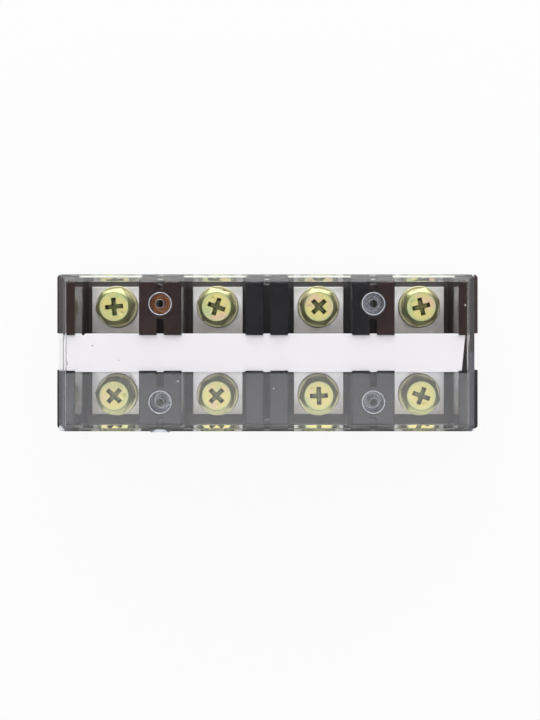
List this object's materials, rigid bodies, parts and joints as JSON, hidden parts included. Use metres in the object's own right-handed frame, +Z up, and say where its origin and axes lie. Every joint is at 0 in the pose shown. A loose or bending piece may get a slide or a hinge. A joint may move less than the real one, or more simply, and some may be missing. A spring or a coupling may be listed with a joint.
{
  "type": "barrier terminal strip",
  "caption": "Barrier terminal strip with a clear lid, a white marker card, hexagon-head terminal screws and double barriers between its poles.",
  "frame": {"origin": "middle of the underside of the strip", "axes": "+X along the strip, +Y across it towards the far row of screws, +Z up through the lid"},
  "size_m": [0.122, 0.0446, 0.036],
  "materials": {
    "phenolic": "satin moulded",
    "clear_plastic": "clear, slightly smoky",
    "white_card": "matte card",
    "plated_conductor": "matt tin or nickel plate",
    "yellow_zinc": "yellow passivated zinc, iridescent"
  },
  "bodies": {
    "strip": {"base": "phenolic", "marker_strip": "white_card", "conductor_plate_1": "plated_conductor", "conductor_plate_2": "plated_conductor", "conductor_plate_3": "plated_conductor", "conductor_plate_4": "plated_conductor"},
    "lid": {"lid": "clear_plastic"},
    "washers_a1": {"flat_washer_a1": "yellow_zinc", "spring_washer_a1": "yellow_zinc"},
    "screw_a1": {"terminal_screw_a1": "yellow_zinc"},
    "washers_a2": {"flat_washer_a2": "yellow_zinc", "spring_washer_a2": "yellow_zinc"},
    "screw_a2": {"terminal_screw_a2": "yellow_zinc"},
    "washers_a3": {"flat_washer_a3": "yellow_zinc", "spring_washer_a3": "yellow_zinc"},
    "screw_a3": {"terminal_screw_a3": "yellow_zinc"},
    "washers_a4": {"flat_washer_a4": "yellow_zinc", "spring_washer_a4": "yellow_zinc"},
    "screw_a4": {"terminal_screw_a4": "yellow_zinc"},
    "washers_b1": {"flat_washer_b1": "yellow_zinc", "spring_washer_b1": "yellow_zinc"},
    "screw_b1": {"terminal_screw_b1": "yellow_zinc"},
    "washers_b2": {"flat_washer_b2": "yellow_zinc", "spring_washer_b2": "yellow_zinc"},
    "screw_b2": {"terminal_screw_b2": "yellow_zinc"},
    "washers_b3": {"flat_washer_b3": "yellow_zinc", "spring_washer_b3": "yellow_zinc"},
    "screw_b3": {"terminal_screw_b3": "yellow_zinc"},
    "washers_b4": {"flat_washer_b4": "yellow_zinc", "spring_washer_b4": "yellow_zinc"},
    "screw_b4": {"terminal_screw_b4": "yellow_zinc"}
  },
  "joints": [
    {"name": "lid_lift", "type": "slide", "parent": "strip", "child": "lid", "axis": [0, 0, 1], "range_m": [0, 0.04]},
    {"name": "screw_a1_rise", "type": "slide", "parent": "strip", "child": "washers_a1", "axis": [0, 0, 1], "range_m": [0, 0.008]},
    {"name": "screw_a1_turn", "type": "hinge", "parent": "washers_a1", "child": "screw_a1", "pos_m": [-0.045, 0.01305, 0.0162], "axis": [0, 0, 1], "range_deg": [0, 2880]},
    {"name": "screw_a2_rise", "type": "slide", "parent": "strip", "child": "washers_a2", "axis": [0, 0, 1], "range_m": [0, 0.008]},
    {"name": "screw_a2_turn", "type": "hinge", "parent": "washers_a2", "child": "screw_a2", "pos_m": [-0.015, 0.01305, 0.0162], "axis": [0, 0, 1], "range_deg": [0, 2880]},
    {"name": "screw_a3_rise", "type": "slide", "parent": "strip", "child": "washers_a3", "axis": [0, 0, 1], "range_m": [0, 0.008]},
    {"name": "screw_a3_turn", "type": "hinge", "parent": "washers_a3", "child": "screw_a3", "pos_m": [0.015, 0.01305, 0.0162], "axis": [0, 0, 1], "range_deg": [0, 2880]},
    {"name": "screw_a4_rise", "type": "slide", "parent": "strip", "child": "washers_a4", "axis": [0, 0, 1], "range_m": [0, 0.008]},
    {"name": "screw_a4_turn", "type": "hinge", "parent": "washers_a4", "child": "screw_a4", "pos_m": [0.045, 0.01305, 0.0162], "axis": [0, 0, 1], "range_deg": [0, 2880]},
    {"name": "screw_b1_rise", "type": "slide", "parent": "strip", "child": "washers_b1", "axis": [0, 0, 1], "range_m": [0, 0.008]},
    {"name": "screw_b1_turn", "type": "hinge", "parent": "washers_b1", "child": "screw_b1", "pos_m": [-0.045, -0.01305, 0.0162], "axis": [0, 0, 1], "range_deg": [0, 2880]},
    {"name": "screw_b2_rise", "type": "slide", "parent": "strip", "child": "washers_b2", "axis": [0, 0, 1], "range_m": [0, 0.008]},
    {"name": "screw_b2_turn", "type": "hinge", "parent": "washers_b2", "child": "screw_b2", "pos_m": [-0.015, -0.01305, 0.0162], "axis": [0, 0, 1], "range_deg": [0, 2880]},
    {"name": "screw_b3_rise", "type": "slide", "parent": "strip", "child": "washers_b3", "axis": [0, 0, 1], "range_m": [0, 0.008]},
    {"name": "screw_b3_turn", "type": "hinge", "parent": "washers_b3", "child": "screw_b3", "pos_m": [0.015, -0.01305, 0.0162], "axis": [0, 0, 1], "range_deg": [0, 2880]},
    {"name": "screw_b4_rise", "type": "slide", "parent": "strip", "child": "washers_b4", "axis": [0, 0, 1], "range_m": [0, 0.008]},
    {"name": "screw_b4_turn", "type": "hinge", "parent": "washers_b4", "child": "screw_b4", "pos_m": [0.045, -0.01305, 0.0162], "axis": [0, 0, 1], "range_deg": [0, 2880]}
  ],
  "couplings": [
    {"joint": "screw_a1_turn", "follows": "screw_a1_rise", "rad_per_m": 6283.2},
    {"joint": "screw_a2_turn", "follows": "screw_a2_rise", "rad_per_m": 6283.2},
    {"joint": "screw_a3_turn", "follows": "screw_a3_rise", "rad_per_m": 6283.2},
    {"joint": "screw_a4_turn", "follows": "screw_a4_rise", "rad_per_m": 6283.2},
    {"joint": "screw_b1_turn", "follows": "screw_b1_rise", "rad_per_m": 6283.2},
    {"joint": "screw_b2_turn", "follows": "screw_b2_rise", "rad_per_m": 6283.2},
    {"joint": "screw_b3_turn", "follows": "screw_b3_rise", "rad_per_m": 6283.2},
    {"joint": "screw_b4_turn", "follows": "screw_b4_rise", "rad_per_m": 6283.2}
  ]
}
